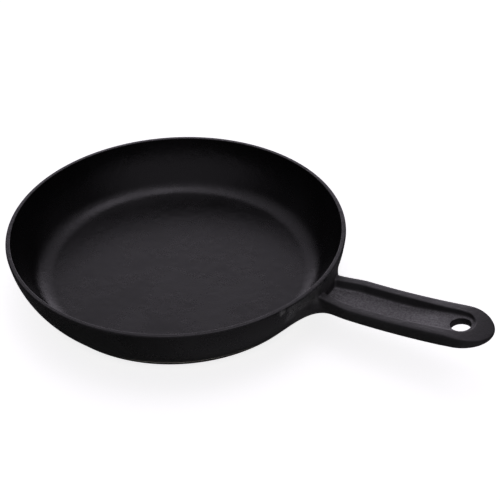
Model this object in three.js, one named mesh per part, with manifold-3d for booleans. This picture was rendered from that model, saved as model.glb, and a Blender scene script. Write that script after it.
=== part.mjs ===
// A 24 cm cast iron skillet with a long channelled grip handle.
// Units are millimetres, +Z is up, the pan's axis is Z, the pan stands on z = 0 and the handle points along +X.
// The whole skillet is one casting. Each mesh here is one region of it, from the foot to the hanging loop.
import * as THREE from 'three';
import { mergeVertices } from 'three/addons/utils/BufferGeometryUtils.js';
import Module from 'manifold-3d';

const wasm = await Module();
wasm.setup();

// ---------- driving dimensions ----------

// Pan
const RIM_RADIUS = 120;
const PAN_HEIGHT = 41.5;
const RIM_BAND_HEIGHT = 3.6;
const RIM_OUTER_ROUND = 1.1;
const RIM_INNER_ROUND = 0.5;
const WALL_THICKNESS = 3.3;
const WALL_ARC_RADIUS = 61;
const WALL_START_RADIUS = 101.3;
const FOOT_RADIUS = 100.3;
const FOOT_CHAMFER = { in: 0.4, down: 0.7 };
const FOOT_HEIGHT = 2.4;
const FLOOR_RADIUS = 90.5;
const FLOOR_TOP = 4.4;

// Handle. Its crest line is a shallow parabola in the XZ plane, the height of the two edges' tops.
const GRIP_START = { x: 131, z: 34.1, slope: 0.029 };
const GRIP_END = { x: 205, z: 41.1 };
const HANDLE_HALF_WIDTH = 18.2;
const HANDLE_THICKNESS = 10.5;
const CREST_HALF_SPACING = 12.2;
const SHOULDER_DROP = 5.6;
const SHOULDER_FULLNESS = 5;
const BOTTOM_ROUND = 4.9;
const RECESS_DEPTH = 4.6;
const RECESS_FLAT_HALF_WIDTH = 6.8;
const RECESS_FILLET = 3.4;
const RECESS_FILLET_ANGLE = Math.PI / 3;
const RECESS_RISE = 1.6;
const RECESS_RISE_RUN = 30;
const CREST_ROUND = 0.5;
const WEB_THICKNESS = 3.5;
const UNDERSIDE_FLAT_HALF_WIDTH = 8.4;
const UNDERSIDE_SLOPE_WIDTH = 2.2;
const LOOP_STRAIGHT = 8.9;
const LOOP_STRETCH = 1.18;
const HOLE_DIAMETER = 13;

// The top of the loop falls away towards the tip along a parabola, which leaves the crest line here
const TIP_FALL_START = 7.5;
const TIP_FALL_SLOPE = 0.105;
const TIP_FALL_BEND = 0.0055;

// The handle is narrower and deeper where it meets the pan
const NECK_START_X = 120;
const NECK_END_X = 144;
const NECK_NARROWING = 3;
const NECK_DEEPENING = 1.9;

// Root of the handle, where it spreads along the wall
const ROOT_FILLET = 7;
const ROOT_FILLET_ANGLE = (70 * Math.PI) / 180;
const ROOT_FILLET_START = 123.5;
const ROOT_INNER_RADIUS = 105;
const SPREAD_HIGH = 29;
const APRON_TOP_RADIUS = 120.4;
const APRON_LOW_RADIUS = 122.4;
const APRON_HALF_WIDTH_TOP = 34;
const APRON_HALF_WIDTH_LOW = 21;
const APRON_LOW = 28;
const RECESS_END_FILLET = 3;

// Cut neighbours keep this gap
const GAP = 0.3;

const LATHE_SEGMENTS = 80;
const LOOP_SEGMENTS = 40;
const HOLE_SEGMENTS = 32;
const GRIP_STEPS = 12;
const ROOT_STEPS = 4;
const TIP_STEPS = 6;
const WALL_STEPS = 6;
const COVE_STEPS = 5;
const ROUND_STEPS = 3;

// ---------- helpers ----------

const point = (x, y) => new THREE.Vector2(x, y);

// Points on an arc, both ends included.
function arc(centre, radius, from, to, steps) {
  const points = [];
  for (let i = 0; i <= steps; i += 1) {
    const angle = from + ((to - from) * i) / steps;
    points.push(point(centre.x + radius * Math.cos(angle), centre.y + radius * Math.sin(angle)));
  }
  return points;
}

// Turns a closed (radius, z) outline, listed anticlockwise, round the Z axis.
function revolve(outline, segments = LATHE_SEGMENTS) {
  const onAxis = outline[0].x === 0;
  const profile = onAxis ? outline : [...outline, outline[0]];
  return new THREE.LatheGeometry(profile, segments).rotateX(Math.PI / 2);
}

function toSolid(geometry) {
  const bare = geometry.clone();
  bare.deleteAttribute('normal');
  bare.deleteAttribute('uv');
  const merged = mergeVertices(bare, 1e-4);
  const vertProperties = new Float32Array(merged.attributes.position.array);
  const triVerts = new Uint32Array(merged.index.array);
  return new wasm.Manifold(new wasm.Mesh({ numProp: 3, vertProperties, triVerts }));
}

function toGeometry(solid) {
  const mesh = solid.getMesh();
  const geometry = new THREE.BufferGeometry();
  geometry.setAttribute('position', new THREE.BufferAttribute(new Float32Array(mesh.vertProperties), 3));
  geometry.setIndex(new THREE.BufferAttribute(new Uint32Array(mesh.triVerts), 1));
  geometry.computeVertexNormals();
  return geometry;
}

// An upright prism of a plan outline between two heights.
function prism(outline, low, high) {
  const shape = new THREE.Shape(outline);
  return new THREE.ExtrudeGeometry(shape, { depth: high - low, bevelEnabled: false }).translate(0, 0, low);
}

// ---------- pan profile, as (radius, z) ----------

// The centre of the arc of this radius through two points, on the side of the axis.
function arcCentre(a, b, radius) {
  const middle = point((a.x + b.x) / 2, (a.y + b.y) / 2);
  const half = a.distanceTo(b) / 2;
  const reach = Math.sqrt(radius * radius - half * half);
  const along = b.clone().sub(a).normalize();
  return point(middle.x - along.y * reach, middle.y + along.x * reach);
}

const rimEdge = point(RIM_RADIUS, PAN_HEIGHT);
const wallFoot = point(WALL_START_RADIUS, FOOT_HEIGHT);
const wallCentre = arcCentre(wallFoot, rimEdge, WALL_ARC_RADIUS);
const innerArcRadius = WALL_ARC_RADIUS - WALL_THICKNESS;

// The cove is the circle that is tangent to the floor at its edge and to the inner wall arc.
const coveRun = FLOOR_RADIUS - wallCentre.x;
const coveDrop = wallCentre.y - FLOOR_TOP;
const coveRadius =
  (innerArcRadius ** 2 - coveRun ** 2 - coveDrop ** 2) / (2 * (innerArcRadius - coveDrop));
const coveCentre = point(FLOOR_RADIUS, FLOOR_TOP + coveRadius);
const coveEnd = Math.atan2(coveCentre.y - wallCentre.y, coveCentre.x - wallCentre.x);

const wallAngle = (point_) => Math.atan2(point_.y - wallCentre.y, point_.x - wallCentre.x);
const angleAtHeight = (radius, z) => Math.asin((z - wallCentre.y) / radius);

const bandLow = PAN_HEIGHT - RIM_BAND_HEIGHT;
const outerBandAngle = angleAtHeight(WALL_ARC_RADIUS, bandLow);
const innerBandAngle = angleAtHeight(innerArcRadius, bandLow);

function footOutline() {
  const edge = point(FOOT_RADIUS, FOOT_HEIGHT - FOOT_CHAMFER.down);
  const top = point(FOOT_RADIUS - FOOT_CHAMFER.in, FOOT_HEIGHT);
  return [point(0, 0), point(FOOT_RADIUS, 0), edge, top, point(0, FOOT_HEIGHT)];
}

function floorOutline() {
  return [
    point(0, FOOT_HEIGHT),
    point(FLOOR_RADIUS, FOOT_HEIGHT),
    point(FLOOR_RADIUS, FLOOR_TOP),
    point(0, FLOOR_TOP),
  ];
}

function coveOutline() {
  return [
    point(FLOOR_RADIUS, FOOT_HEIGHT),
    ...arc(wallCentre, WALL_ARC_RADIUS, wallAngle(wallFoot), coveEnd, ROUND_STEPS),
    ...arc(coveCentre, coveRadius, coveEnd, -Math.PI / 2, COVE_STEPS),
  ];
}

function wallOutline() {
  return [
    ...arc(wallCentre, WALL_ARC_RADIUS, coveEnd, outerBandAngle, WALL_STEPS),
    ...arc(wallCentre, innerArcRadius, innerBandAngle, coveEnd, WALL_STEPS),
  ];
}

function rimOutline() {
  const outerTop = angleAtHeight(WALL_ARC_RADIUS, PAN_HEIGHT - RIM_OUTER_ROUND);
  const innerTop = angleAtHeight(innerArcRadius, PAN_HEIGHT - RIM_INNER_ROUND);
  const outer = arc(wallCentre, WALL_ARC_RADIUS, outerBandAngle, outerTop, 1);
  const inner = arc(wallCentre, innerArcRadius, innerTop, innerBandAngle, 1);
  const outerRound = point(outer[1].x - RIM_OUTER_ROUND, PAN_HEIGHT - RIM_OUTER_ROUND);
  const innerRound = point(inner[0].x + RIM_INNER_ROUND, PAN_HEIGHT - RIM_INNER_ROUND);
  return [
    outer[0],
    ...arc(outerRound, RIM_OUTER_ROUND, 0, Math.PI / 2, ROUND_STEPS),
    ...arc(innerRound, RIM_INNER_ROUND, Math.PI / 2, Math.PI, ROUND_STEPS),
    inner[1],
  ];
}

// ---------- handle section, as (y, z) with z = 0 on the crest line ----------

// The concave side of the recess, from the flat of its floor up to the crest.
function recessSide() {
  const centre = point(RECESS_FLAT_HALF_WIDTH, RECESS_FILLET - RECESS_DEPTH);
  const from = -Math.PI / 2;
  const fillet = arc(centre, RECESS_FILLET, from, from + RECESS_FILLET_ANGLE, ROUND_STEPS);
  return [...fillet, point(CREST_HALF_SPACING - 2 * CREST_ROUND, -CREST_ROUND), point(CREST_HALF_SPACING, 0)];
}

// The outside of the handle, from the crest round a full, superelliptic shoulder to the flat underside.
function outerSide() {
  const points = [];
  const power = 2 / SHOULDER_FULLNESS;
  for (let i = 1; i <= 2 * ROUND_STEPS; i += 1) {
    const angle = (Math.PI / 2) * (i / (2 * ROUND_STEPS));
    const reach = (HANDLE_HALF_WIDTH - CREST_HALF_SPACING) * Math.sin(angle) ** power;
    const drop = SHOULDER_DROP * (1 - Math.abs(Math.cos(angle)) ** power);
    points.push(point(CREST_HALF_SPACING + reach, -drop));
  }
  const centre = point(HANDLE_HALF_WIDTH - BOTTOM_ROUND, BOTTOM_ROUND - HANDLE_THICKNESS);
  return [...points, ...arc(centre, BOTTOM_ROUND, 0, -Math.PI / 2, ROUND_STEPS)];
}

const webLow = -RECESS_DEPTH - WEB_THICKNESS;

const undersideWidth = UNDERSIDE_FLAT_HALF_WIDTH + UNDERSIDE_SLOPE_WIDTH;

// The hollow of the underside, from the edge's flat underside in to the web.
function undersideSide() {
  return [point(undersideWidth, -HANDLE_THICKNESS), point(UNDERSIDE_FLAT_HALF_WIDTH, webLow)];
}

const mirrored = (outline) => outline.map((p) => point(-p.x, p.y));

function edgeOutline() {
  return [...recessSide(), ...outerSide(), ...undersideSide(), point(RECESS_FLAT_HALF_WIDTH, webLow)];
}

function webOutline() {
  const half = RECESS_FLAT_HALF_WIDTH;
  return [point(-half, webLow), point(half, webLow), point(half, -RECESS_DEPTH), point(-half, -RECESS_DEPTH)];
}

// The full outside of the handle with the recess and the hollow left solid.
function fullOutline() {
  const right = [point(CREST_HALF_SPACING, 0), ...outerSide()];
  return [...right, ...mirrored(right).reverse()];
}

// What the recess takes away, up to a height above the crest.
function recessOutline(above) {
  const right = [...recessSide(), point(CREST_HALF_SPACING, above)];
  return [...right, ...mirrored(right).reverse()];
}

// Sweeps a section along a path in the XZ plane. The path's frames carry a shape's X on -Y and its Y on -Z.
function sweep(outline, path, steps) {
  const shape = new THREE.Shape(outline.map((p) => point(-p.x, -p.y)));
  return new THREE.ExtrudeGeometry(shape, { steps, bevelEnabled: false, extrudePath: path });
}

const gripMiddleX = (GRIP_START.x + GRIP_END.x) / 2;
const gripPath = new THREE.QuadraticBezierCurve3(
  new THREE.Vector3(GRIP_START.x, 0, GRIP_START.z),
  new THREE.Vector3(gripMiddleX, 0, GRIP_START.z + GRIP_START.slope * (gripMiddleX - GRIP_START.x)),
  new THREE.Vector3(GRIP_END.x, 0, GRIP_END.z),
);

// A straight bar along X with a (y, z) section, from one x to another.
function bar(outline, from, to, steps = 1) {
  const shape = new THREE.Shape(outline);
  const geometry = new THREE.ExtrudeGeometry(shape, { depth: to - from, steps, bevelEnabled: false });
  return geometry.rotateX(Math.PI / 2).rotateZ(Math.PI / 2).translate(from, 0, 0);
}

const gripLength = GRIP_END.x - GRIP_START.x;
const gripRise = GRIP_END.z - GRIP_START.z;
const crestBend = (gripRise - GRIP_START.slope * gripLength) / gripLength ** 2;

function crestAt(x) {
  const run = x - GRIP_START.x;
  return {
    height: GRIP_START.z + GRIP_START.slope * run + crestBend * run * run,
    pitch: Math.atan(GRIP_START.slope + 2 * crestBend * run),
  };
}

const levelCrest = () => ({ height: 0, pitch: 0 });

const neckShare = (x) => 1 - THREE.MathUtils.smoothstep(x, NECK_START_X, NECK_END_X);

// Gives a straight-sided length of the handle its neck, and lets the recess's floor rise towards the loop.
// Each corner moves by the share of the station it was swept from. The flat of the recess keeps its width.
function shaped(geometry, crest = crestAt) {
  const position = geometry.attributes.position;
  for (let i = 0; i < position.count; i += 1) {
    const [x, y, z] = [position.getX(i), position.getY(i), position.getZ(i)];
    const { height, pitch } = crest(x);
    const below = (height - z) * Math.cos(pitch);
    const station = x - below * Math.sin(pitch);
    const outer = THREE.MathUtils.inverseLerp(RECESS_FLAT_HALF_WIDTH, CREST_HALF_SPACING, Math.abs(y));
    const inwards = NECK_NARROWING * THREE.MathUtils.clamp(outer, 0, 1);
    const deep = Math.max(below - SHOULDER_DROP, 0) / (HANDLE_THICKNESS - SHOULDER_DROP);
    const inRecess = Math.abs(y) < CREST_HALF_SPACING && below < RECESS_DEPTH + CREST_ROUND;
    const rise = RECESS_RISE * THREE.MathUtils.smoothstep(station, GRIP_END.x - RECESS_RISE_RUN, GRIP_END.x);
    const lift = inRecess ? (rise * Math.max(below, 0)) / RECESS_DEPTH : 0;
    position.setY(i, y - Math.sign(y) * inwards * neckShare(station));
    position.setZ(i, z - NECK_DEEPENING * neckShare(station) * deep + lift);
  }
  geometry.computeVertexNormals();
  return geometry;
}

// How far the handle's own frame is tipped up at one end of the grip.
function pitchAt(t) {
  const tangent = gripPath.getTangent(t);
  return Math.atan2(tangent.z, tangent.x);
}

// ---------- hanging loop, in a frame at the end of the grip ----------

const onAxisFrom = (outline) => outline.filter((p) => p.x > 0);

// The recess is shallower here than in the grip.
const loopRecessShare = (RECESS_DEPTH - RECESS_RISE) / RECESS_DEPTH;
const shallower = (outline) => outline.map((p) => point(p.x, p.y < 0 ? p.y * loopRecessShare : p.y));

// What lies above the falling top of the loop, as a block with its side view in the XZ plane.
function aboveTip() {
  const end = LOOP_STRAIGHT + HANDLE_HALF_WIDTH * LOOP_STRETCH + 1;
  const points = [point(end, 2), point(TIP_FALL_START, 2)];
  for (let i = 0; i <= TIP_STEPS; i += 1) {
    const run = ((end - TIP_FALL_START) * i) / TIP_STEPS;
    points.push(point(TIP_FALL_START + run, -TIP_FALL_SLOPE * run - TIP_FALL_BEND * run * run));
  }
  const half = HANDLE_HALF_WIDTH + 2;
  return toSolid(prism(points, -half, half).rotateX(Math.PI / 2));
}

// The underside's hollow as a cutter that reaches below the handle.
function hollowOutline(below) {
  return [point(0, below), point(undersideWidth, below), ...undersideSide(), point(0, webLow)];
}

// A straight stretch that carries on from the grip, then half a turn of the section round the hole's axis.
function loopSolid() {
  const below = -HANDLE_THICKNESS - 1;
  const turned = (outline, stretch = 1) =>
    toSolid(revolve(outline, LOOP_SEGMENTS).scale(stretch, 1, 1).translate(LOOP_STRAIGHT, 0, 0));
  const run = (outline, from) => toSolid(bar(outline, from, LOOP_STRAIGHT));

  const halfTurn = [point(0, -HANDLE_THICKNESS), ...onAxisFrom(fullOutline()).reverse(), point(0, 0)];
  const recessTop = [point(CREST_HALF_SPACING, 1), point(0, 1)];
  const recessTurn = shallower([point(0, -RECESS_DEPTH), ...recessSide(), ...recessTop]);
  const hollowRight = onAxisFrom(hollowOutline(below));
  const hollowRun = [...hollowRight, ...mirrored(hollowRight).reverse()];

  const behind = toSolid(new THREE.BoxGeometry(60, 60, 60).translate(LOOP_STRAIGHT - 30, 0, 0));
  const round = turned(halfTurn, LOOP_STRETCH).subtract(behind);
  const drill = new THREE.CylinderGeometry(HOLE_DIAMETER / 2, HOLE_DIAMETER / 2, 30, HOLE_SEGMENTS);
  const hole = toSolid(drill.rotateX(Math.PI / 2).translate(LOOP_STRAIGHT, 0, 0));
  return round
    .add(run(fullOutline(), GAP))
    .subtract(turned(recessTurn))
    .subtract(run(shallower(recessOutline(1)), 0))
    .subtract(turned(hollowOutline(below)))
    .subtract(run(hollowRun, 0))
    .subtract(aboveTip())
    .subtract(hole);
}

// ---------- handle root ----------

// Plan outline of the root: the handle's width, spreading in round fillets along the wall.
function rootPlan() {
  const half = HANDLE_HALF_WIDTH - NECK_NARROWING * neckShare(ROOT_FILLET_START);
  const centre = point(ROOT_FILLET_START, half + ROOT_FILLET);
  const from = -Math.PI / 2;
  const fillet = arc(centre, ROOT_FILLET, from, from - ROOT_FILLET_ANGLE, 2 * ROUND_STEPS);
  const left = [...fillet, point(ROOT_INNER_RADIUS, fillet[fillet.length - 1].y)];
  return [...left, ...left.map((p) => point(p.x, -p.y)).reverse()];
}

// The elevation of the apron, which carries the root up to the rim, swept along X.
function apronOutline(base) {
  const top = bandLow - base - GAP;
  const low = APRON_LOW - base;
  return [
    point(-APRON_HALF_WIDTH_TOP, top),
    point(-APRON_HALF_WIDTH_LOW, low),
    point(APRON_HALF_WIDTH_LOW, low),
    point(APRON_HALF_WIDTH_TOP, top),
  ];
}

// The inside of this shape, grown by the gap, is what the pan keeps for itself.
function panEnvelope() {
  const shell = [
    point(0, -1),
    point(FOOT_RADIUS + GAP, -1),
    ...arc(wallCentre, WALL_ARC_RADIUS + GAP, wallAngle(wallFoot), outerBandAngle, 2 * WALL_STEPS),
    point(RIM_RADIUS + GAP, bandLow),
    point(RIM_RADIUS + GAP, PAN_HEIGHT + 1),
    point(0, PAN_HEIGHT + 1),
  ];
  return toSolid(revolve(shell));
}

function rootSolid() {
  const base = GRIP_START.z;
  const end = GRIP_START.x - GAP;
  const necked = (outline, to) =>
    toSolid(shaped(bar(outline, ROOT_INNER_RADIUS, to, ROOT_STEPS), levelCrest).translate(0, 0, base));
  const neck = necked(fullOutline(), end);
  const spread = toSolid(prism(rootPlan(), base - HANDLE_THICKNESS, SPREAD_HIGH));
  const apronBar = toSolid(bar(apronOutline(base), ROOT_INNER_RADIUS, GRIP_START.x).translate(0, 0, base));
  const tall = bandLow - APRON_LOW;
  const cone = new THREE.CylinderGeometry(APRON_TOP_RADIUS, APRON_LOW_RADIUS, tall, LATHE_SEGMENTS);
  const apron = apronBar.intersect(toSolid(cone.rotateX(Math.PI / 2).translate(0, 0, APRON_LOW + tall / 2)));

  const recessEnd = APRON_LOW_RADIUS + RECESS_END_FILLET;
  const floor = base - RECESS_DEPTH;
  const above = PAN_HEIGHT + 1;
  const recessSidePlan = [
    point(end + 1, above),
    point(end + 1, floor),
    ...arc(
      point(recessEnd, floor + RECESS_END_FILLET),
      RECESS_END_FILLET,
      -Math.PI / 2,
      -Math.PI,
      ROUND_STEPS,
    ),
    point(APRON_LOW_RADIUS, APRON_LOW + RECESS_END_FILLET),
    point(APRON_TOP_RADIUS, bandLow),
    point(APRON_TOP_RADIUS, above),
  ];
  // The side view's prism stands on Z and is turned so that its height runs along Y.
  const recessBlock = toSolid(prism(recessSidePlan, -20, 20).rotateX(Math.PI / 2));
  const channel = necked(recessOutline(above - base), end + 2);
  const recess = recessBlock.intersect(channel);

  return neck.add(spread).add(apron).subtract(recess).subtract(panEnvelope());
}

// ---------- assembly ----------

function castIron(color, roughness) {
  return new THREE.MeshStandardMaterial({ color, roughness, metalness: 0.9 });
}

const seasoned = () => castIron(0x1c1b1e, 0.5);
const sanded = () => castIron(0x2b2a2d, 0.6);
const baseIron = () => castIron(0x39352f, 0.55);

function named(name, geometry, material) {
  const mesh = new THREE.Mesh(geometry, material);
  mesh.name = name;
  return mesh;
}

const skillet = new THREE.Group();

const pan = new THREE.Group();
pan.add(named('base_foot', revolve(footOutline()), baseIron()));
pan.add(named('pan_floor', revolve(floorOutline()), seasoned()));
pan.add(named('floor_cove', revolve(coveOutline()), seasoned()));
pan.add(named('pan_wall', revolve(wallOutline()), seasoned()));
pan.add(named('pan_rim', revolve(rimOutline()), seasoned()));
skillet.add(pan);

const handle = new THREE.Group();
handle.add(named('handle_root', toGeometry(rootSolid()), sanded()));
handle.add(named('grip_web', shaped(sweep(webOutline(), gripPath, GRIP_STEPS)), sanded()));
handle.add(named('grip_edge_left', shaped(sweep(edgeOutline(), gripPath, GRIP_STEPS)), sanded()));
handle.add(named('grip_edge_right', shaped(sweep(mirrored(edgeOutline()), gripPath, GRIP_STEPS)), sanded()));

const loop = named('hanging_loop', toGeometry(loopSolid()), sanded());
loop.position.set(GRIP_END.x, 0, GRIP_END.z);
loop.rotation.y = -pitchAt(1);
handle.add(loop);
skillet.add(handle);

export default skillet;
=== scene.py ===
import math

import bmesh
import bpy
import numpy as np
from mathutils import Matrix, Vector


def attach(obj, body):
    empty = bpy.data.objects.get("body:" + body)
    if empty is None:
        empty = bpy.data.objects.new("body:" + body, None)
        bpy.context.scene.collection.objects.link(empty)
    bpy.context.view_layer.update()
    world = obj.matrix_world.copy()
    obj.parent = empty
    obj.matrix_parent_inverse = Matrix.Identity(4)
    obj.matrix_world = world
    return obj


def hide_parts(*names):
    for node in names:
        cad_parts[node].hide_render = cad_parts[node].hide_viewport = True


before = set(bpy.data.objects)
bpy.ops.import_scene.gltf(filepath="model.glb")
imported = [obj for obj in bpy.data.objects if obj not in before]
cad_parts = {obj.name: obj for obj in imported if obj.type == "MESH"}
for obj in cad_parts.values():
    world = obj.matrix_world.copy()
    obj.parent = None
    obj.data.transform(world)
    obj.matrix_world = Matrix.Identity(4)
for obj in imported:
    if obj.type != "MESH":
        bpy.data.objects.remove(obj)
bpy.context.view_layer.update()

# The skillet is one casting. Its surface is made here in millimetres, in the frame of the CAD part,
# and is cut into one closed piece for each region of the casting.

# ---------- sizes, mm ----------

MM = 0.001

RIM_RADIUS = 120.0
PAN_HEIGHT = 41.5
RIM_BAND_HEIGHT = 3.6
RIM_OUTER_ROUND = 1.1
RIM_INNER_ROUND = 0.6
WALL_THICKNESS = 3.3
WALL_ARC_RADIUS = 61.0
WALL_START_RADIUS = 101.3
FOOT_RADIUS = 100.3
FOOT_TOP_RADIUS = 100.0
FOOT_EDGE_HEIGHT = 2.0
FOOT_HEIGHT = 2.4
FOOT_ROUND = 0.3
WALL_TOE_HEIGHT = 3.0
FLOOR_RADIUS = 90.5
FLOOR_TOP = 4.4
LATHE_SEGMENTS = 384

CREST_START_X = 131.0
CREST_START_Z = 34.1
CREST_START_SLOPE = 0.029
CREST_END_X = 205.0
CREST_END_Z = 41.1
HANDLE_HALF_WIDTH = 18.2
HANDLE_THICKNESS = 10.5
CREST_HALF_SPACING = 12.2
SHOULDER_DROP = 5.6
SHOULDER_FULLNESS = 5.0
BOTTOM_ROUND = 4.9
RECESS_DEPTH = 4.6
RECESS_FLAT_HALF_WIDTH = 6.8
RECESS_FILLET = 3.4
RECESS_FILLET_ANGLE = math.radians(60)
RECESS_RISE = 1.6
RECESS_RISE_RUN = 30.0
CREST_BLEND = 0.7
WEB_THICKNESS = 3.5
UNDERSIDE_FLAT_HALF_WIDTH = 8.4
UNDERSIDE_SLOPE_WIDTH = 2.2
UNDERSIDE_FILLET = 1.6
HOLLOW_START_X = 128.0
LOOP_STRAIGHT = 8.9
LOOP_STRETCH = 1.18
LOOP_THINNING = 0.07
LOOP_THINNING_RUN = 20.0
HOLE_RADIUS = 6.5
HOLE_BLEND = 0.7

# The handle's root: fillets onto the wall, broad under the ridge that the mould left and tight over it,
# and the apron, which is the upright face between the rim and the grip's recess.
WALL_BLEND_LOW = 17.0
WALL_BLEND_HIGH = 3.5
WALL_BLEND_RISE = 8.0
WALL_SINK = 0.02
RIDGE_LOW = 32.5
RIDGE_RISE = 6.7
RIDGE_RISE_POWER = 1.5
RIDGE_REACH = 0.8
RIDGE_ROUND = 0.8
RIDGE_FLAT_HALF_WIDTH = 9.0
RIDGE_HALF_WIDTH = 31.0
APRON_RADIUS = 119.9
APRON_HALF_WIDTH = 22.0
APRON_TOP = 40.4
APRON_TOP_BLEND = 1.2
APRON_LEAN = 0.35
APRON_LEAN_DROP = 6.5
APRON_BLEND = 1.0
RECESS_END_BLEND = 3.0
HOLLOW_START_BLEND = 4.0
NECK_NARROWING = 3.0
NECK_DEEPENING = 0.16
NECK_START_X = 120.0
NECK_END_X = 144.0
PATCH_HALF_WIDTH = 42.0
PATCH_LOW = 6.5
FILLET_FADE = 0.4

TIP_FALL_START = -2.0
TIP_FALL_BEND = 0.0055
TIP_FALL_LEVEL = 0.46
TIP_FALL_BLEND = 1.0

SECTION_STEP = 0.1
NET_STEP = 0.6
NET_LOW = (100.0, -43.0, 5.5)
NET_HIGH = (238.0, 43.0, 47.0)

# ---------- painted highlights and marks in the finish, mm ---

# Painted highlights beside the handle's root: upright strokes on its fillets, and a paler patch of painted
# light over its apron. Bearing and half width in degrees, top and low end, and how strongly each shows.
HIGHLIGHT_STROKES = [
    (-22.0, 1.7, 42.5, 35.0, 1.0),
    (-18.0, 2.9, 42.0, 24.0, 0.65),
    (-3.0, 20.0, 42.5, 29.0, 0.8),
]
HIGHLIGHT_TOP_FADE = 2.0
HIGHLIGHT_LOW_FADE = 4.0
HIGHLIGHT_RADIUS = 124.0
HIGHLIGHT_RADIUS_FADE = 3.0
# Streaks per metre: fine round the wall and drawn out up it.
HIGHLIGHT_STREAKS = (900, 900, 120)
TOE_WEAR_LOW = 4.6
TOE_WEAR_HIGH = 5.9
TOE_WEAR_FADE = 0.4
BARE_HALF_WIDTH = 7.0
BARE_HALF_WIDTH_FADE = 2.5
BARE_END_X = 219.0
BARE_END_X_FADE = 2.0

# ---------- floor, light and camera: m, degrees, radiance ----------

FLOOR_REACH = 6.0
BACKDROP_SIDES = 64
BACKDROP_HEIGHT = 3.0

LIGHT_TINT = (1.0, 0.93, 1.06, 1.0)
SCREEN_AZIMUTH = 213
SCREEN_RADIANCE = 1.75
ROOM_ELEVATION = 68
ROOM_LOW_RADIANCE = 0.04
ROOM_HIGH_RADIANCE = 0.42
FRONT_AZIMUTH = 31
FRONT_ELEVATION = 20
FRONT_RADIANCE = 0.2
TABLE_AZIMUTH = 90
TABLE_ELEVATION = -35
TABLE_LOW_RADIANCE = 0.005
TABLE_HIGH_RADIANCE = 0.07
TABLE_FAR_RADIANCE = 0.04

SOFTBOX_AZIMUTH = 190
SOFTBOX_ELEVATION = 74
SOFTBOX_DISTANCE = 1.3
SOFTBOX_SIZE = 0.7
SOFTBOX_RADIANCE = 0.8
SOFTBOX_TARGET = (0.05, 0, 0.02)

CAMERA_AZIMUTH = 31.0
CAMERA_ELEVATION = 37.13
CAMERA_DISTANCE = 0.82346
CAMERA_TARGET = Vector((0.0323, 0.0467, 0))
CAMERA_ROLL = -0.995
CAMERA_LENS = 79.2
CAMERA_SENSOR = 36.0
CAMERA_CLIP_START = 0.01


# ---------- pan: closed rings turned from (radius, z) runs ----------


def arc_centre(a, b, radius):
    """The centre of the arc of this radius through two points, on the side of the axis."""
    middle = (a + b) / 2
    along = (b - a) / np.linalg.norm(b - a)
    reach = math.sqrt(radius**2 - np.sum((b - a) ** 2) / 4)
    return middle + reach * np.array([-along[1], along[0]])


WALL_CENTRE = arc_centre(
    np.array([WALL_START_RADIUS, FOOT_HEIGHT]), np.array([RIM_RADIUS, PAN_HEIGHT]), WALL_ARC_RADIUS
)
INNER_ARC_RADIUS = WALL_ARC_RADIUS - WALL_THICKNESS

# The cove is the circle that is tangent to the floor at its edge and to the inner wall arc.
cove_run = FLOOR_RADIUS - WALL_CENTRE[0]
cove_drop = WALL_CENTRE[1] - FLOOR_TOP
COVE_RADIUS = (INNER_ARC_RADIUS**2 - cove_run**2 - cove_drop**2) / (2 * (INNER_ARC_RADIUS - cove_drop))
COVE_CENTRE = np.array([FLOOR_RADIUS, FLOOR_TOP + COVE_RADIUS])
COVE_END = math.atan2(COVE_CENTRE[1] - WALL_CENTRE[1], COVE_CENTRE[0] - WALL_CENTRE[0])


def angle_at_height(radius, z):
    return math.asin((z - WALL_CENTRE[1]) / radius)


BAND_LOW = PAN_HEIGHT - RIM_BAND_HEIGHT
OUTER_BAND_ANGLE = angle_at_height(WALL_ARC_RADIUS, BAND_LOW)
INNER_BAND_ANGLE = angle_at_height(INNER_ARC_RADIUS, BAND_LOW)


def arc(centre, radius, start, end, steps):
    """Points and outward normals along an arc of an outline that runs anticlockwise round its solid."""
    angles = np.linspace(start, end, steps + 1)
    away = np.stack([np.cos(angles), np.sin(angles)], axis=1)
    return np.asarray(centre) + radius * away, away * np.sign(end - start)


def line(start, end, steps=1):
    """Points and outward normals along a straight stretch of such an outline."""
    start, end = np.asarray(start, float), np.asarray(end, float)
    along = (end - start) / np.linalg.norm(end - start)
    points = start + np.linspace(0, 1, steps + 1)[:, None] * (end - start)
    return points, np.tile([along[1], -along[0]], (steps + 1, 1))


def mesh_object(name, vertices, faces, loop_normals):
    """A mesh in metres with a normal of its own at each face corner."""
    mesh = bpy.data.meshes.new(name)
    mesh.from_pydata((np.asarray(vertices) * MM).tolist(), [], faces)
    mesh.polygons.foreach_set("use_smooth", [True] * len(mesh.polygons))
    mesh.normals_split_custom_set(loop_normals)
    mesh.update()
    piece = bpy.data.objects.new(name, mesh)
    bpy.context.scene.collection.objects.link(piece)
    return piece


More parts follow.
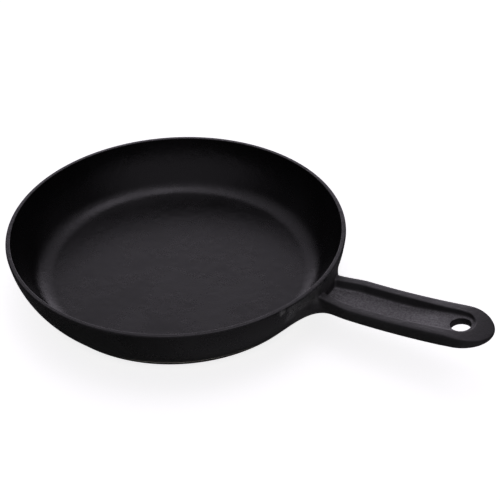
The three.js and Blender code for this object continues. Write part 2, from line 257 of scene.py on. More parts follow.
def turned(name, runs, segments=LATHE_SEGMENTS):
    """Turns a closed outline, given as runs of points and normals, round the Z axis."""
    stations, spans = [], []
    for points, normals in runs:
        for (p, q), (n, m) in zip(zip(points, points[1:]), zip(normals, normals[1:])):
            if p[0] > 1e-9 or q[0] > 1e-9:
                spans.append((len(stations), n, m))
                stations.append(p)
    if runs[-1][0][-1][0] < 1e-9:
        stations.append(runs[-1][0][-1])

    turns = np.linspace(0, 2 * math.pi, segments, endpoint=False)
    cos, sin = np.cos(turns), np.sin(turns)
    vertices, first, size = [], [], []
    for radius, z in stations:
        count = segments if radius > 1e-9 else 1
        first.append(len(vertices))
        size.append(count)
        vertices.extend(zip(radius * cos[:count], radius * sin[:count], [z] * count))

    faces, loop_normals = [], []
    for station, n, m in spans:
        following = (station + 1) % len(stations)
        for i in range(segments):
            corners = [
                (following, i, m),
                (station, i, n),
                (station, i + 1, n),
                (following, i + 1, m),
            ]
            face, normals = [], []
            for s, turn, normal in corners:
                turn = turn % segments
                vertex = first[s] + turn % size[s]
                if vertex not in face:
                    face.append(vertex)
                    normals.append((normal[0] * cos[turn], normal[0] * sin[turn], normal[1]))
            faces.append(face)
            loop_normals.extend(normals)
    return mesh_object(name, vertices, faces, loop_normals)


def foot_runs():
    """The foot's side ends in a chamfer that leads back under the toe of the wall."""
    low = FOOT_RADIUS - FOOT_ROUND
    edge = (FOOT_RADIUS, FOOT_EDGE_HEIGHT)
    top = (FOOT_TOP_RADIUS, FOOT_HEIGHT)
    return [
        line((0, 0), (low, 0), 4),
        arc((low, FOOT_ROUND), FOOT_ROUND, -math.pi / 2, 0, 6),
        line((FOOT_RADIUS, FOOT_ROUND), edge),
        line(edge, top),
        line(top, (0, FOOT_HEIGHT), 4),
    ]


def floor_runs():
    return [
        line((0, FOOT_HEIGHT), (FLOOR_RADIUS, FOOT_HEIGHT), 4),
        line((FLOOR_RADIUS, FOOT_HEIGHT), (FLOOR_RADIUS, FLOOR_TOP)),
        line((FLOOR_RADIUS, FLOOR_TOP), (0, FLOOR_TOP), 24),
    ]


def on_wall(radius, angle):
    return WALL_CENTRE + radius * np.array([math.cos(angle), math.sin(angle)])


def cove_runs():
    outer_end = on_wall(WALL_ARC_RADIUS, COVE_END)
    inner_end = on_wall(INNER_ARC_RADIUS, COVE_END)
    toe = (FOOT_TOP_RADIUS, FOOT_HEIGHT)
    toe_angle = angle_at_height(WALL_ARC_RADIUS, WALL_TOE_HEIGHT)
    return [
        line((FLOOR_RADIUS, FOOT_HEIGHT), toe, 2),
        line(toe, on_wall(WALL_ARC_RADIUS, toe_angle)),
        arc(WALL_CENTRE, WALL_ARC_RADIUS, toe_angle, COVE_END, 10),
        line(outer_end, inner_end),
        arc(COVE_CENTRE, COVE_RADIUS, COVE_END, -math.pi / 2, 16),
        line((FLOOR_RADIUS, FLOOR_TOP), (FLOOR_RADIUS, FOOT_HEIGHT)),
    ]


def wall_runs():
    return [
        arc(WALL_CENTRE, WALL_ARC_RADIUS, COVE_END, OUTER_BAND_ANGLE, 28),
        line(on_wall(WALL_ARC_RADIUS, OUTER_BAND_ANGLE), on_wall(INNER_ARC_RADIUS, INNER_BAND_ANGLE)),
        arc(WALL_CENTRE, INNER_ARC_RADIUS, INNER_BAND_ANGLE, COVE_END, 28),
        line(on_wall(INNER_ARC_RADIUS, COVE_END), on_wall(WALL_ARC_RADIUS, COVE_END)),
    ]


def rim_runs():
    outer_angle = angle_at_height(WALL_ARC_RADIUS, PAN_HEIGHT - RIM_OUTER_ROUND)
    inner_angle = angle_at_height(INNER_ARC_RADIUS, PAN_HEIGHT - RIM_INNER_ROUND)
    outer_edge = on_wall(WALL_ARC_RADIUS, outer_angle)
    inner_edge = on_wall(INNER_ARC_RADIUS, inner_angle)
    outer_round = outer_edge - (RIM_OUTER_ROUND, 0)
    inner_round = inner_edge + (RIM_INNER_ROUND, 0)
    return [
        arc(WALL_CENTRE, WALL_ARC_RADIUS, OUTER_BAND_ANGLE, outer_angle, 4),
        arc(outer_round, RIM_OUTER_ROUND, 0, math.pi / 2, 8),
        line(outer_round + (0, RIM_OUTER_ROUND), inner_round + (0, RIM_INNER_ROUND)),
        arc(inner_round, RIM_INNER_ROUND, math.pi / 2, math.pi, 6),
        arc(WALL_CENTRE, INNER_ARC_RADIUS, inner_angle, INNER_BAND_ANGLE, 4),
        line(on_wall(INNER_ARC_RADIUS, INNER_BAND_ANGLE), on_wall(WALL_ARC_RADIUS, OUTER_BAND_ANGLE)),
    ]


# ---------- handle: one distance field, negative inside the iron ----------


def smooth_max(a, b, width):
    """The larger of two distances, with their shared edge rounded over this width."""
    near = np.maximum(width - np.abs(a - b), 0) / width
    return np.maximum(a, b) + near**2 * width / 4


def smooth_min(a, b, width):
    return -smooth_max(-a, -b, width)


def smooth_step(share):
    """A share held between 0 and 1, eased at both ends."""
    share = np.clip(share, 0, 1)
    return share**2 * (3 - 2 * share)


def polygon_distance(x, y, outline):
    """Signed distance of points to a closed polygon, negative inside."""
    nearest = np.full(x.shape, np.inf)
    inside = np.zeros(x.shape, bool)
    for (ax, ay), (bx, by) in zip(outline, np.roll(outline, -1, axis=0)):
        ex, ey = bx - ax, by - ay
        if ex == ey == 0:
            continue
        along = np.clip(((x - ax) * ex + (y - ay) * ey) / (ex**2 + ey**2), 0, 1)
        nearest = np.minimum(nearest, (x - ax - along * ex) ** 2 + (y - ay - along * ey) ** 2)
        if ay != by:
            inside ^= ((ay > y) != (by > y)) & (x < ax + ex * (y - ay) / ey)
    return np.where(inside, -1, 1) * np.sqrt(nearest)


class Section:
    """The distance field of a shape in the handle's section: across from its middle, up from its crest."""

    WIDTH = 64.0
    LOW = -30.0
    HIGH = 22.0

    def __init__(self, half_outline):
        half = np.array(half_outline)
        whole = np.concatenate([half, (half * (-1, 1))[::-1]])
        across = np.arange(0, self.WIDTH, SECTION_STEP)
        up = np.arange(self.LOW, self.HIGH, SECTION_STEP)
        self.table = polygon_distance(*np.meshgrid(across, up, indexing="ij"), whole)

    def __call__(self, across, up):
        i = np.clip(across / SECTION_STEP, 0, self.table.shape[0] - 1.001)
        j = np.clip((up - self.LOW) / SECTION_STEP, 0, self.table.shape[1] - 1.001)
        i0, j0 = i.astype(int), j.astype(int)
        s, t = i - i0, j - j0
        low = self.table[i0, j0] * (1 - s) + self.table[i0 + 1, j0] * s
        high = self.table[i0, j0 + 1] * (1 - s) + self.table[i0 + 1, j0 + 1] * s
        return low * (1 - t) + high * t


def outer_section():
    """A flat-topped bead with full shoulders: a quarter of a superellipse from its crest to its side."""
    points = [(0, 0), (CREST_HALF_SPACING, 0)]
    power = 2 / SHOULDER_FULLNESS
    for angle in np.linspace(0, math.pi / 2, 25)[1:]:
        reach = (HANDLE_HALF_WIDTH - CREST_HALF_SPACING) * math.sin(angle) ** power
        drop = SHOULDER_DROP * (1 - abs(math.cos(angle)) ** power)
        points.append((CREST_HALF_SPACING + reach, -drop))
    centre = (HANDLE_HALF_WIDTH - BOTTOM_ROUND, BOTTOM_ROUND - HANDLE_THICKNESS)
    points.extend(arc(centre, BOTTOM_ROUND, 0, -math.pi / 2, 12)[0].tolist())
    points.append((0, -HANDLE_THICKNESS))
    return Section(points)


def recess_section():
    centre = (RECESS_FLAT_HALF_WIDTH, RECESS_FILLET - RECESS_DEPTH)
    fillet = arc(centre, RECESS_FILLET, -math.pi / 2, RECESS_FILLET_ANGLE - math.pi / 2, 10)[0]
    top = 20.0
    x, z = fillet[-1]
    side = (x + (top - z) / math.tan(RECESS_FILLET_ANGLE), top)
    return Section([(0, -RECESS_DEPTH), *fillet.tolist(), side, (0, top)])


def hollow_section():
    """The hollow underneath. Its sides lean out downwards, as the pattern has to draw from the mould."""
    roof = -RECESS_DEPTH - WEB_THICKNESS
    lean = math.atan2(UNDERSIDE_SLOPE_WIDTH, roof + HANDLE_THICKNESS)
    corner = UNDERSIDE_FLAT_HALF_WIDTH - UNDERSIDE_FILLET * (1 - math.sin(lean)) / math.cos(lean)
    centre = (corner, roof - UNDERSIDE_FILLET)
    fillet = arc(centre, UNDERSIDE_FILLET, math.pi / 2, lean, 8)[0]
    x, z = fillet[-1]
    low = -28.0
    return Section([(0, roof), *fillet.tolist(), (x + (z - low) * math.tan(lean), low), (0, low)])


outer_shape = outer_section()
recess_shape = recess_section()
hollow_shape = hollow_section()

CREST_BEND = (
    CREST_END_Z - CREST_START_Z - CREST_START_SLOPE * (CREST_END_X - CREST_START_X)
) / (CREST_END_X - CREST_START_X) ** 2
CREST_END_SLOPE = CREST_START_SLOPE + 2 * CREST_BEND * (CREST_END_X - CREST_START_X)
LOOP_PITCH = math.atan(CREST_END_SLOPE)


def crest_line(x):
    """Height and slope of the crest: a parabola up to the hanging loop, and straight from there."""
    run = np.minimum(x, CREST_END_X) - CREST_START_X
    beyond = np.maximum(x - CREST_END_X, 0)
    height = CREST_START_Z + CREST_START_SLOPE * run + CREST_BEND * run**2 + CREST_END_SLOPE * beyond
    return height, CREST_START_SLOPE + 2 * CREST_BEND * run


def wall_distance(x, y, z):
    radius = np.hypot(x, y)
    return np.hypot(radius - WALL_CENTRE[0], z - WALL_CENTRE[1]) - WALL_ARC_RADIUS


def up_and_along(x, z):
    """How far a point is over the crest, and how far out past the start of the hanging loop."""
    crest, slope = crest_line(x)
    up = (z - crest) / np.sqrt(1 + slope**2)
    along = (x - CREST_END_X) * math.cos(LOOP_PITCH) + (z - CREST_END_Z) * math.sin(LOOP_PITCH)
    return up, along


def grip_distance(y, past, up, along, neck):
    """The outside of the grip. Its loop is a little longer than round, and its crest falls at the tip."""
    stretched = np.hypot(y, past / LOOP_STRETCH) + NECK_NARROWING * neck
    thinning = LOOP_THINNING * np.clip(along / LOOP_THINNING_RUN, 0, 1)
    grip = outer_shape(stretched, up * (1 + thinning - NECK_DEEPENING * neck))
    falling = TIP_FALL_BEND * np.maximum(along - TIP_FALL_START, 0) ** 2
    return smooth_max(grip, up + falling - TIP_FALL_LEVEL, TIP_FALL_BLEND)


def ridge_height(y):
    """Height of the ridge that the mould left on the root. It rises to both sides."""
    spread = np.maximum(np.abs(y) - RIDGE_FLAT_HALF_WIDTH, 0)
    spread = spread / (RIDGE_HALF_WIDTH - RIDGE_FLAT_HALF_WIDTH)
    return RIDGE_LOW + RIDGE_RISE * spread**RIDGE_RISE_POWER


def root_distance(x, y, z, grip):
    """The grip joined to the wall, and the apron's face, which is where the grip's recess ends."""
    ridge = ridge_height(y)
    fade = np.maximum(1 - (y / APRON_HALF_WIDTH) ** 2, 0) ** 2
    lean = APRON_LEAN * np.clip(APRON_TOP - z, 0, APRON_LEAN_DROP)
    face = np.hypot(x, y) - APRON_RADIUS - lean * fade
    lip_face = face - RIDGE_REACH * fade
    lip = smooth_max(lip_face, z - ridge, RIDGE_ROUND)
    lip = smooth_max(lip, (lip_face - (z - ridge)) / math.sqrt(2), RIDGE_ROUND)
    apron = smooth_max(face, (face - (z - ridge)) / math.sqrt(2), RIDGE_ROUND)
    apron = smooth_max(smooth_min(apron, lip, APRON_BLEND), z - APRON_TOP, APRON_TOP_BLEND)

    # Below the ridge the root spreads in broad fillets. Above it, the mould's other half leaves only
    # the handle and the apron's steep face.
    wall = np.maximum(wall_distance(x, y, z) + WALL_SINK, z - APRON_TOP)
    rise = np.clip((z - ridge) / WALL_BLEND_RISE + 1, 0, 1)
    blend = WALL_BLEND_LOW + (WALL_BLEND_HIGH - WALL_BLEND_LOW) * rise
    spread_root = smooth_min(grip, wall, blend)
    above_ridge = smooth_min(face, grip - RIDGE_ROUND, APRON_BLEND)
    root = smooth_max(spread_root, np.minimum(above_ridge, z - ridge), RIDGE_ROUND)
    return smooth_min(root, apron, APRON_BLEND), face


def handle_distance(x, y, z):
    """The whole handle with its fillets onto the pan's wall."""
    up, along = up_and_along(x, z)
    past = np.maximum(along - LOOP_STRAIGHT, 0)
    neck = smooth_step((NECK_END_X - x) / (NECK_END_X - NECK_START_X))
    body, face = root_distance(x, y, z, grip_distance(y, past, up, along, neck))

    across = np.hypot(y, past) + NECK_NARROWING * neck
    recess_up = up - RECESS_RISE * smooth_step(1 + along / RECESS_RISE_RUN)
    recess = smooth_max(recess_shape(across, recess_up), -face, RECESS_END_BLEND)
    body = smooth_max(body, -recess, CREST_BLEND)
    hollow = smooth_max(hollow_shape(across, up), HOLLOW_START_X - x, HOLLOW_START_BLEND)
    body = smooth_max(body, -hollow, CREST_BLEND)
    hole = np.hypot(along - LOOP_STRAIGHT, y) - HOLE_RADIUS
    body = smooth_max(body, -hole, HOLE_BLEND)

    # The piece ends inside the wall's iron, and at the edges of the patch where its fillets have died out.
    inside_pan = WALL_THICKNESS / 2 + wall_distance(x, y, z)
    patch = np.maximum(np.abs(y) - PATCH_HALF_WIDTH, PATCH_LOW - z)
    return np.maximum(body, np.maximum(-inside_pan, patch))


def gradient(distance, points, reach=0.05):
    columns = []
    for axis in range(3):
        offset = np.zeros(3)
        offset[axis] = reach
        columns.append(distance(*(points + offset).T) - distance(*(points - offset).T))
    return np.stack(columns, axis=1) / (2 * reach)


def surface_net(distance, low, high, step):
    """A closed quad mesh of the surface where the distance is zero, one vertex in each cell it crosses."""
    axes = [np.arange(a, b + step, step) for a, b in zip(low, high)]
    grid = distance(*np.meshgrid(*axes, indexing="ij"))
    cells = tuple(n - 1 for n in grid.shape)

    def shifted(array, shift, shape=cells):
        return array[tuple(slice(s, s + n) for s, n in zip(shift, shape))]

    total = np.zeros(cells + (3,))
    count = np.zeros(cells)
    for axis in range(3):
        side = np.eye(3, dtype=int)[axis]
        others = [a for a in range(3) if a != axis]
        for corner in ((0, 0), (0, 1), (1, 0), (1, 1)):
            start = np.zeros(3, int)
            start[others] = corner
            a, b = shifted(grid, start), shifted(grid, start + side)
            crossed = (a < 0) != (b < 0)
            share = np.where(crossed, a / np.where(crossed, a - b, 1), 0)
            total += crossed[..., None] * (start + share[..., None] * side)
            count += crossed
    used = count > 0
    index = np.full(cells, -1)
    index[used] = np.arange(used.sum())
    points = np.argwhere(used) + total[used] / count[used][:, None]
    points = points * step + np.array(low)
    for _ in range(3):
        slope = gradient(distance, points)
        size = np.maximum((slope**2).sum(axis=1), 0.25)
        move = distance(*points.T) / size
        points -= np.clip(move, -step / 4, step / 4)[:, None] * slope

    quads = []
    for axis in range(3):
        side = np.eye(3, dtype=int)[axis]
        b, c = (axis + 1) % 3, (axis + 2) % 3
        span = list(cells)
        span[b] -= 1
        span[c] -= 1
        start = np.ones(3, int)
        start[axis] = 0
        here = shifted(grid, start, span) < 0
        there = shifted(grid, start + side, span) < 0
        around = []
        for shift_b, shift_c in ((0, 0), (1, 0), (1, 1), (0, 1)):
            shift = np.zeros(3, int)
            shift[b], shift[c] = shift_b, shift_c
            around.append(shifted(index, shift, span))
        around = np.stack(around, axis=-1)
        quads.append(around[here & ~there])
        quads.append(around[~here & there][:, ::-1])
    return points, np.concatenate(quads)


def handle_normals(points):
    """Outward normals of the handle, turned into the wall's own where the fillet dies out on the wall."""
    own = gradient(handle_distance, points)
    wall = gradient(wall_distance, points)
    share = smooth_step(wall_distance(*points.T) / FILLET_FADE)[:, None]
    mixed = own * share + wall * (1 - share)
    return mixed / np.linalg.norm(mixed, axis=1)[:, None]


def cut_piece(name, points, quads, planes):
    """The part of the handle on the near side of each plane, closed off flat along it."""
    shape = bmesh.new()
    vertices = [shape.verts.new(p) for p in points]
    for quad in quads:
        shape.faces.new([vertices[i] for i in quad]).smooth = True
    for point, normal in planes:
        everything = shape.verts[:] + shape.edges[:] + shape.faces[:]
        cut = bmesh.ops.bisect_plane(
            shape, geom=everything, dist=1e-4, plane_co=point, plane_no=normal, clear_outer=True
        )
        edges = [e for e in cut["geom_cut"] if isinstance(e, bmesh.types.BMEdge)]
        filled = bmesh.ops.triangle_fill(shape, edges=edges, use_beauty=True, normal=normal)
        for face in filled["geom"]:
            if isinstance(face, bmesh.types.BMFace):
                face.smooth = False
    bmesh.ops.recalc_face_normals(shape, faces=shape.faces[:])
    shape.verts.index_update()
    positions = np.array([v.co for v in shape.verts])
    normals = handle_normals(positions)
    faces, loop_normals = [], []
    for face in shape.faces:
        faces.append([v.index for v in face.verts])
        for v in face.verts:
            loop_normals.append(tuple(normals[v.index]) if face.smooth else tuple(face.normal))
    shape.free()
    return mesh_object(name, positions, faces, loop_normals)


# ---------- materials ----------


class Nodes:
    """A short way to write a node tree."""

    def __init__(self, tree):
        self.tree = tree
        tree.nodes.clear()

    def add(self, kind, inputs=(), **settings):
        node = self.tree.nodes.new(kind)
        for key, value in settings.items():
            setattr(node, key, value)
        for key, value in dict(inputs).items():
            if isinstance(value, bpy.types.NodeSocket):
                self.tree.links.new(value, node.inputs[key])
            else:
                node.inputs[key].default_value = value
        return node

    def noise(self, position, scale, detail=2.0, roughness=0.5):
        inputs = {"Vector": position, "Scale": scale, "Detail": detail, "Roughness": roughness}
        return self.add("ShaderNodeTexNoise", inputs).outputs["Fac"]

    def ramp(self, value, low, high, to_low=0.0, to_high=1.0):
        inputs = {"Value": value, "From Min": low, "From Max": high, "To Min": to_low, "To Max": to_high}
        return self.add("ShaderNodeMapRange", inputs, interpolation_type="SMOOTHSTEP").outputs["Result"]

    def math(self, operation, a, b=0.0):
        return self.add("ShaderNodeMath", {0: a, 1: b}, operation=operation).outputs[0]

    def vector_math(self, operation, a, b=(0, 0, 0)):
        return self.add("ShaderNodeVectorMath", {0: a, 1: b}, operation=operation)

    def mix(self, share, a, b):
        node = self.add("ShaderNodeMix", data_type="RGBA")
        for socket, value in ((node.inputs[0], share), (node.inputs[6], a), (node.inputs[7], b)):
            if isinstance(value, bpy.types.NodeSocket):
                self.tree.links.new(value, socket)
            else:
                socket.default_value = value
        return node.outputs[2]


def grey(value):
    return (value, value, value, 1.0)


PAINTED_HIGHLIGHT_COLOUR = grey(0.06)
WORN_METAL = (0.32, 0.31, 0.26, 1.0)


def cast_iron(name, tones, roughness_range, grain, grain_depth, wear=None, wear_colour=None):
    """Seasoned iron: a fine sand-cast grain, patchy seasoning, painted highlights beside the handle's
    root, and paler metal where wear says so.

    The three tones are the greys of the dark patches, the light patches and the flecks.
    The grain and its depth are in metres.
    """
    material = bpy.data.materials.new(name)
    material.use_nodes = True
    nodes = Nodes(material.node_tree)
    position = nodes.add("ShaderNodeTexCoord").outputs["Object"]
    sand = nodes.noise(position, 1 / grain, 3.0, 0.6)
    ripple = nodes.noise(position, 1 / (6 * grain), 2.0, 0.5)
    patches = nodes.noise(position, 28.0, 4.0, 0.55)

    dark, light, fleck = [grey(tone) for tone in tones]
    colour = nodes.mix(nodes.ramp(patches, 0.3, 0.7), dark, light)
    flecks = nodes.math("MULTIPLY", nodes.ramp(sand, 0.35, 0.75), 0.55)
    colour = nodes.mix(flecks, colour, fleck)
    # Painted highlights: paler strokes and a paler patch of painted light outside the wall beside the
    # handle's root.
    colour = nodes.mix(painted_highlights(nodes, position), colour, PAINTED_HIGHLIGHT_COLOUR)
    if wear is not None:
        colour = nodes.mix(wear(nodes, position, sand), colour, wear_colour)

    unevenness = nodes.math("ADD", nodes.math("MULTIPLY", sand, 0.4), patches)
    roughness = nodes.ramp(unevenness, 0.45, 0.95, *roughness_range)
    height = nodes.math("ADD", sand, nodes.math("MULTIPLY", ripple, 2.0))
    bump = nodes.add("ShaderNodeBump", {"Height": height, "Strength": 1.0, "Distance": grain_depth})
    shader = nodes.add("ShaderNodeBsdfPrincipled", {
        "Base Color": colour,
        "Roughness": roughness,
        "Metallic": 0.0,
        "Specular IOR Level": 0.5,
        "Normal": bump.outputs["Normal"],
    })
    output = nodes.add("ShaderNodeOutputMaterial")
    nodes.tree.links.new(shader.outputs["BSDF"], output.inputs["Surface"])
    return material


def around_axis(nodes, position):
    """The distance from the pan's axis, and 1 where the surface faces away from it or 0 elsewhere."""
    level = nodes.vector_math("MULTIPLY", position, (1, 1, 0)).outputs["Vector"]
    radius = nodes.vector_math("LENGTH", level).outputs["Value"]
    normal = nodes.add("ShaderNodeNewGeometry").outputs["Normal"]
    facing = nodes.vector_math("DOT_PRODUCT", level, normal).outputs["Value"]
    return radius, nodes.ramp(facing, 0.02, 0.06)


def between(nodes, value, low, high, low_fade, high_fade):
    """1 between two sizes in millimetres, fading to 0 below the low one and above the high one."""
    above = nodes.ramp(value, (low - low_fade) * MM, low * MM)
    below = nodes.ramp(value, (high + high_fade) * MM, high * MM)
    return nodes.math("MULTIPLY", above, below)


def toe_wear(nodes, position, sand):
    """A bare line round the lowest part of the wall's outside, broken up by the grain."""
    z = nodes.add("ShaderNodeSeparateXYZ", {"Vector": position}).outputs["Z"]
    band = between(nodes, z, TOE_WEAR_LOW, TOE_WEAR_HIGH, TOE_WEAR_FADE, TOE_WEAR_FADE)
    _, outward = around_axis(nodes, position)
    worn = nodes.math("MULTIPLY", band, outward)
    return nodes.math("MULTIPLY", worn, nodes.ramp(sand, 0.3, 0.5, 0.5, 1.0))


def painted_highlights(nodes, position):
    """Painted highlights: upright strokes outside the wall beside the handle, and a paler patch of painted
    light over its root.

    They stand in for the highlights on the root's fillets and for the light on its apron.
    """
    x, y, z = nodes.add("ShaderNodeSeparateXYZ", {"Vector": position}).outputs
    bearing = nodes.math("ARCTAN2", y, x)
    strokes = 0.0
    for degrees, half_width, top, low, strength in HIGHLIGHT_STROKES:
        off = nodes.math("ABSOLUTE", nodes.math("SUBTRACT", bearing, math.radians(degrees)))
        wide = nodes.ramp(off, math.radians(half_width), math.radians(half_width / 4), 0.0, strength)
        full_low, full_top = low + HIGHLIGHT_LOW_FADE, top - HIGHLIGHT_TOP_FADE
        tall = between(nodes, z, full_low, full_top, HIGHLIGHT_LOW_FADE, HIGHLIGHT_TOP_FADE)
        strokes = nodes.math("MAXIMUM", strokes, nodes.math("MULTIPLY", wide, tall))

    radius, outward = around_axis(nodes, position)
    close = nodes.ramp(radius, (HIGHLIGHT_RADIUS + HIGHLIGHT_RADIUS_FADE) * MM, HIGHLIGHT_RADIUS * MM)
    outside = nodes.math("MULTIPLY", outward, close)
    streaks = nodes.vector_math("MULTIPLY", position, HIGHLIGHT_STREAKS).outputs["Vector"]
    broken = nodes.ramp(nodes.noise(streaks, 1.0, 3.0, 0.6), 0.35, 0.6, 0.2, 1.0)
    return nodes.math("MULTIPLY", nodes.math("MULTIPLY", strokes, outside), broken)


def bare_recess(nodes, position, sand):
    """The floor of the grip's recess was never rubbed smooth, so it keeps a paler, dry, speckled skin."""
    x, y, _ = nodes.add("ShaderNodeSeparateXYZ", {"Vector": position}).outputs
    across = nodes.math("ABSOLUTE", y)
    middle = nodes.ramp(across, (BARE_HALF_WIDTH + BARE_HALF_WIDTH_FADE) * MM, BARE_HALF_WIDTH * MM)
    recessed = nodes.ramp(x, (BARE_END_X + BARE_END_X_FADE) * MM, BARE_END_X * MM)
    normal = nodes.add("ShaderNodeNewGeometry").outputs["Normal"]
    upward = nodes.add("ShaderNodeSeparateXYZ", {"Vector": normal}).outputs["Z"]
    flat = nodes.math("MULTIPLY", nodes.math("MULTIPLY", middle, recessed), nodes.ramp(upward, 0.75, 0.95))
    return nodes.math("MULTIPLY", flat, nodes.ramp(sand, 0.3, 0.7, 0.25, 1.0))


pan_iron = cast_iron(
    "seasoned_iron",
    tones=(0.004, 0.006, 0.01),
    roughness_range=(0.22, 0.32),
    grain=0.0011,
    grain_depth=0.0001,
    wear=toe_wear,
    wear_colour=WORN_METAL,
)
handle_iron = cast_iron(
    "handle_iron",
    tones=(0.006, 0.01, 0.02),
    roughness_range=(0.34, 0.46),
    grain=0.0013,
    grain_depth=0.00016,
    wear=bare_recess,
    wear_colour=grey(0.15),
)
base_iron = cast_iron(
    "base_iron",
    tones=(0.002, 0.004, 0.006),
    roughness_range=(0.3, 0.4),
    grain=0.0009,
    grain_depth=0.00005,
)


# ---------- the pieces ----------


def place(piece, node, material):
    piece.data.materials.append(material)
    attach(piece, "root")
    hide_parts(node)


place(turned("skillet_foot", foot_runs()), "base_foot", base_iron)
place(turned("skillet_floor", floor_runs()), "pan_floor", pan_iron)
place(turned("skillet_floor_cove", cove_runs()), "floor_cove", pan_iron)
place(turned("skillet_wall", wall_runs()), "pan_wall", pan_iron)
place(turned("skillet_rim", rim_runs()), "pan_rim", pan_iron)

net_points, net_quads = surface_net(handle_distance, NET_LOW, NET_HIGH, NET_STEP)
ROOT_PLANE = ((CREST_START_X, 0, 0), (1, 0, 0))
ROOT_PLANE_BACK = ((CREST_START_X, 0, 0), (-1, 0, 0))
loop_axis = (math.cos(LOOP_PITCH), 0, math.sin(LOOP_PITCH))
LOOP_PLANE = ((CREST_END_X, 0, CREST_END_Z), loop_axis)
LOOP_PLANE_BACK = ((CREST_END_X, 0, CREST_END_Z), (-loop_axis[0], 0, -loop_axis[2]))
GRIP_PLANES = [ROOT_PLANE_BACK, LOOP_PLANE]
half_flat = RECESS_FLAT_HALF_WIDTH
HANDLE_PIECES = {
    "handle_root": [ROOT_PLANE],
    "grip_web": [*GRIP_PLANES, ((0, half_flat, 0), (0, 1, 0)), ((0, -half_flat, 0), (0, -1, 0))],
    "grip_edge_left": [*GRIP_PLANES, ((0, half_flat, 0), (0, -1, 0))],
    "grip_edge_right": [*GRIP_PLANES, ((0, -half_flat, 0), (0, 1, 0))],
    "hanging_loop": [LOOP_PLANE_BACK],
}
for node, planes in HANDLE_PIECES.items():
    piece = cut_piece("skillet_" + node, net_points, net_quads.tolist(), planes)
    place(piece, node, handle_iron)


# ---------- floor, light and camera ----------


def on_sphere(azimuth, elevation, distance):
    """A place seen from the pan at this bearing (0 is -Y, 90 is +X) and height above the horizon."""
    a, e = math.radians(azimuth), math.radians(elevation)
    direction = Vector((math.sin(a) * math.cos(e), -math.cos(a) * math.cos(e), math.sin(e)))
    return distance * direction


def look(position, target, roll=0.0):
    """The matrix of a camera or light at a position that faces a target."""
    forward = (Vector(target) - Vector(position)).normalized()
    right = forward.cross(Vector((0, 0, 1))).normalized()
    up = right.cross(forward)
    turn = math.radians(roll)
    right, up = math.cos(turn) * right + math.sin(turn) * up, math.cos(turn) * up - math.sin(turn) * right
    matrix = Matrix((right, up, -forward)).transposed().to_4x4()
    matrix.translation = position
    return matrix


def top_softbox():
    light = bpy.data.lights.new("top_softbox", "AREA")
    light.shape = "SQUARE"
    light.size = SOFTBOX_SIZE
    light.energy = SOFTBOX_RADIANCE * math.pi * SOFTBOX_SIZE**2
    light.color = LIGHT_TINT[:3]
    lamp = bpy.data.objects.new("top_softbox", light)
    bpy.context.scene.collection.objects.link(lamp)
    position = on_sphere(SOFTBOX_AZIMUTH, SOFTBOX_ELEVATION, SOFTBOX_DISTANCE)
    lamp.matrix_world = look(position, SOFTBOX_TARGET)


def pale_surface():
    material = bpy.data.materials.new("pale_surface")
    material.use_nodes = True
    nodes = Nodes(material.node_tree)
    shader = nodes.add("ShaderNodeBsdfPrincipled", {
        "Base Color": grey(0.85),
        "Roughness": 0.9,
        "Specular IOR Level": 0.2,
        "Emission Color": grey(1.0),
        "Emission Strength": 0.8,
    })
    output = nodes.add("ShaderNodeOutputMaterial")
    nodes.tree.links.new(shader.outputs["BSDF"], output.inputs["Surface"])
    return material


def stage_piece(name, vertices, faces, material):
    mesh = bpy.data.meshes.new(name)
    mesh.from_pydata(vertices, [], faces)
    mesh.materials.append(material)
    piece = bpy.data.objects.new(name, mesh)
    bpy.context.scene.collection.objects.link(piece)
    piece.visible_glossy = False
    return piece


def floor_and_backdrop():
    """A pale floor, with a pale wall far round it that only the camera sees, in low views."""
    material = pale_surface()
    ring = [on_sphere(360 * i / BACKDROP_SIDES, 0, FLOOR_REACH) for i in range(BACKDROP_SIDES)]
    stage_piece("floor", ring, [tuple(range(BACKDROP_SIDES))], material)
    top = [corner + Vector((0, 0, BACKDROP_HEIGHT)) for corner in ring]
    turn = [(i, (i + 1) % BACKDROP_SIDES) for i in range(BACKDROP_SIDES)]
    sides = [(a, b, b + BACKDROP_SIDES, a + BACKDROP_SIDES) for a, b in turn]
    backdrop = stage_piece("backdrop", ring + top, sides, material)
    backdrop.visible_diffuse = False
    backdrop.visible_shadow = False


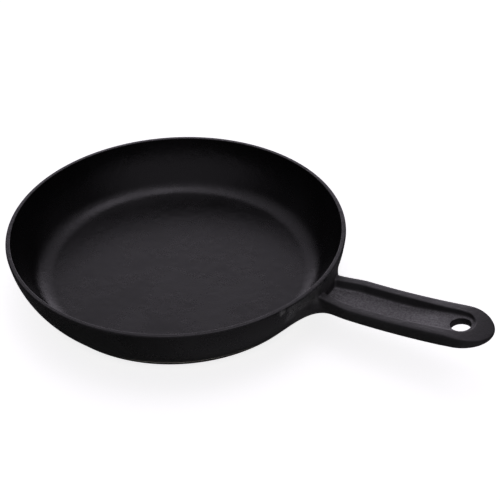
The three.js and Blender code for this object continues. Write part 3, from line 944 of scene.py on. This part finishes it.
def studio_world():
    """A dim studio: a bright screen low behind the pan, a pale ceiling, a little light from the front, and
    a little back from the table below."""
    world = bpy.data.worlds.new("studio")
    world.use_nodes = True
    nodes = Nodes(world.node_tree)
    direction = nodes.add("ShaderNodeTexCoord").outputs["Generated"]
    height = nodes.add("ShaderNodeSeparateXYZ", {"Vector": direction}).outputs["Z"]

    def towards(azimuth, elevation):
        aim = on_sphere(azimuth, elevation, 1)
        return nodes.vector_math("DOT_PRODUCT", direction, aim).outputs["Value"]

    behind = nodes.ramp(towards(SCREEN_AZIMUTH, 0), 0.76, 0.98, 0.0, SCREEN_RADIANCE)
    screen = nodes.math("MULTIPLY", behind, nodes.ramp(height, 0.75, 0.3))
    overhead = towards(SCREEN_AZIMUTH, ROOM_ELEVATION)
    room = nodes.ramp(overhead, 0.5, 0.98, ROOM_LOW_RADIANCE, ROOM_HIGH_RADIANCE)
    front = nodes.ramp(towards(FRONT_AZIMUTH, FRONT_ELEVATION), 0.35, 0.95, 0.0, FRONT_RADIANCE)
    lit = nodes.math("ADD", nodes.math("ADD", screen, room), front)
    above = nodes.math("MULTIPLY", lit, nodes.ramp(height, -0.06, 0.04))

    facing = towards(TABLE_AZIMUTH, TABLE_ELEVATION)
    near_table = nodes.ramp(facing, 0.3, 0.9, TABLE_LOW_RADIANCE, TABLE_HIGH_RADIANCE)
    far_table = nodes.ramp(height, -0.85, -0.45, 0.0, TABLE_FAR_RADIANCE)
    table = nodes.math("ADD", near_table, far_table)
    below = nodes.math("MULTIPLY", table, nodes.ramp(height, 0.04, -0.06))

    strength = nodes.math("ADD", above, below)
    background = nodes.add("ShaderNodeBackground", {"Color": LIGHT_TINT, "Strength": strength})
    output = nodes.add("ShaderNodeOutputWorld")
    nodes.tree.links.new(background.outputs["Background"], output.inputs["Surface"])
    bpy.context.scene.world = world


def photo_camera():
    camera_data = bpy.data.cameras.new("camera")
    camera_data.lens = CAMERA_LENS
    camera_data.sensor_width = CAMERA_SENSOR
    camera_data.clip_start = CAMERA_CLIP_START
    camera = bpy.data.objects.new("camera", camera_data)
    bpy.context.scene.collection.objects.link(camera)
    position = CAMERA_TARGET + on_sphere(CAMERA_AZIMUTH, CAMERA_ELEVATION, CAMERA_DISTANCE)
    camera.matrix_world = look(position, CAMERA_TARGET, CAMERA_ROLL)
    bpy.context.scene.camera = camera


floor_and_backdrop()
top_softbox()
studio_world()
photo_camera()
bpy.context.scene.view_settings.view_transform = "Standard"
